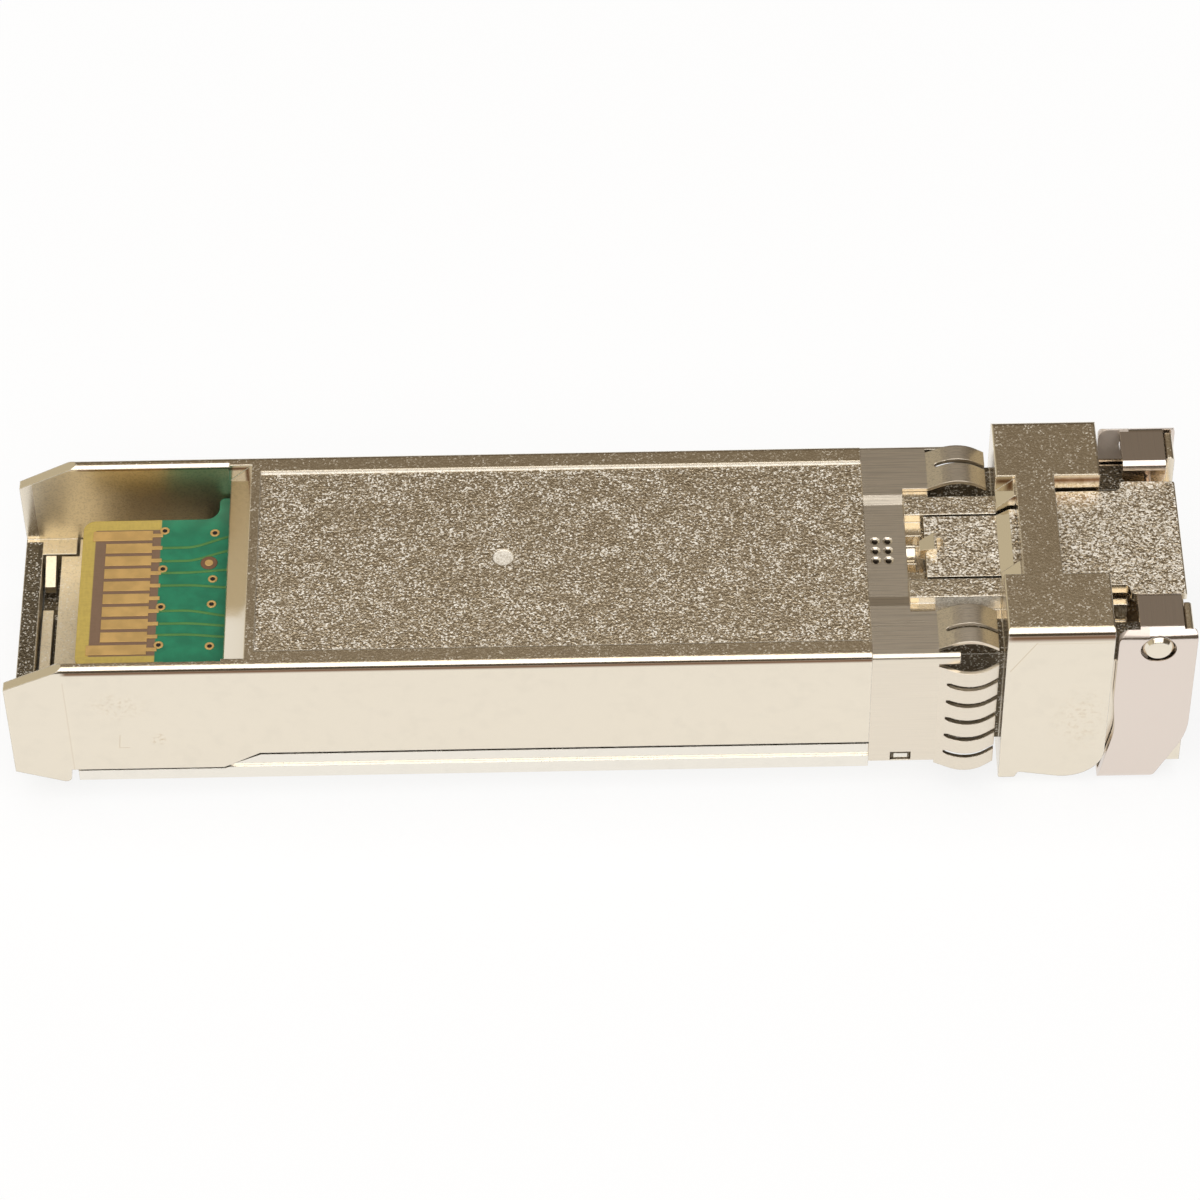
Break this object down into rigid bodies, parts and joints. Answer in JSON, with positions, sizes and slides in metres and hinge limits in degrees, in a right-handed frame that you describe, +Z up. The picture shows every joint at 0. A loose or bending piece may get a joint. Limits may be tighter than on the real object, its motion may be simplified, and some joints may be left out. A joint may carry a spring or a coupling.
{
  "type": "sfp plus optical transceiver module",
  "caption": "Pluggable optical transceiver module with a cast metal case, spring-finger collar, twin fibre ports, card-edge contacts, a swinging bail and a rocking latch.",
  "frame": {"origin": "middle of the underside of the part's box, lying label side down", "axes": "+X from the card edge to the bail, +Y across, +Z up through the latch side"},
  "size_m": [0.0564, 0.0144, 0.0114],
  "materials": {
    "nickel_casting": "bright nickel plate on a fine-grained zinc casting",
    "spring_steel": "brushed spring steel",
    "bail_steel": "smooth bright steel",
    "dowel_steel": "ground steel",
    "board_green": "solder mask over glass-fibre board",
    "contact_gold": "hard gold on nickel",
    "chip_black": "moulded epoxy",
    "passive_tan": "fired ceramic with tinned ends",
    "thermal_grey": "soft filled silicone",
    "barrel_steel": "turned stainless steel",
    "sleeve_ceramic": "white polished ceramic",
    "flex_amber": "amber polyimide film"
  },
  "bodies": {
    "module": {"base_housing": "nickel_casting", "top_cover": "nickel_casting", "emi_collar": "spring_steel", "rocker_pin": "dowel_steel", "rocker_spring": "spring_steel", "circuit_board": "board_green", "edge_contacts": "contact_gold", "driver_chip": "chip_black", "receiver_chip": "chip_black", "controller_chip": "chip_black", "chip_passives": "passive_tan", "thermal_pad": "thermal_grey", "osa_clamp": "nickel_casting", "transmit_barrel": "barrel_steel", "transmit_sleeve": "sleeve_ceramic", "transmit_stub": "sleeve_ceramic", "transmit_can": "barrel_steel", "transmit_flex": "flex_amber", "receive_barrel": "barrel_steel", "receive_sleeve": "sleeve_ceramic", "receive_stub": "sleeve_ceramic", "receive_can": "barrel_steel", "receive_flex": "flex_amber"},
    "bail": {"bail": "bail_steel"},
    "rocker": {"latch_rocker": "nickel_casting"}
  },
  "joints": [
    {"name": "bail_hinge", "type": "hinge", "parent": "module", "child": "bail", "pos_m": [0.02641, 0, 0.00995], "axis": [0, -1, 0], "range_deg": [0, 85]},
    {"name": "rocker_tilt", "type": "hinge", "parent": "module", "child": "rocker", "pos_m": [0.02113, 0, 0.00965], "axis": [0, -1, 0], "range_deg": [0, 6.6], "deforming": ["rocker_spring"]}
  ],
  "couplings": [
    {"joint": "rocker_tilt", "follows": "bail_hinge", "ratio": 0.0765}
  ]
}
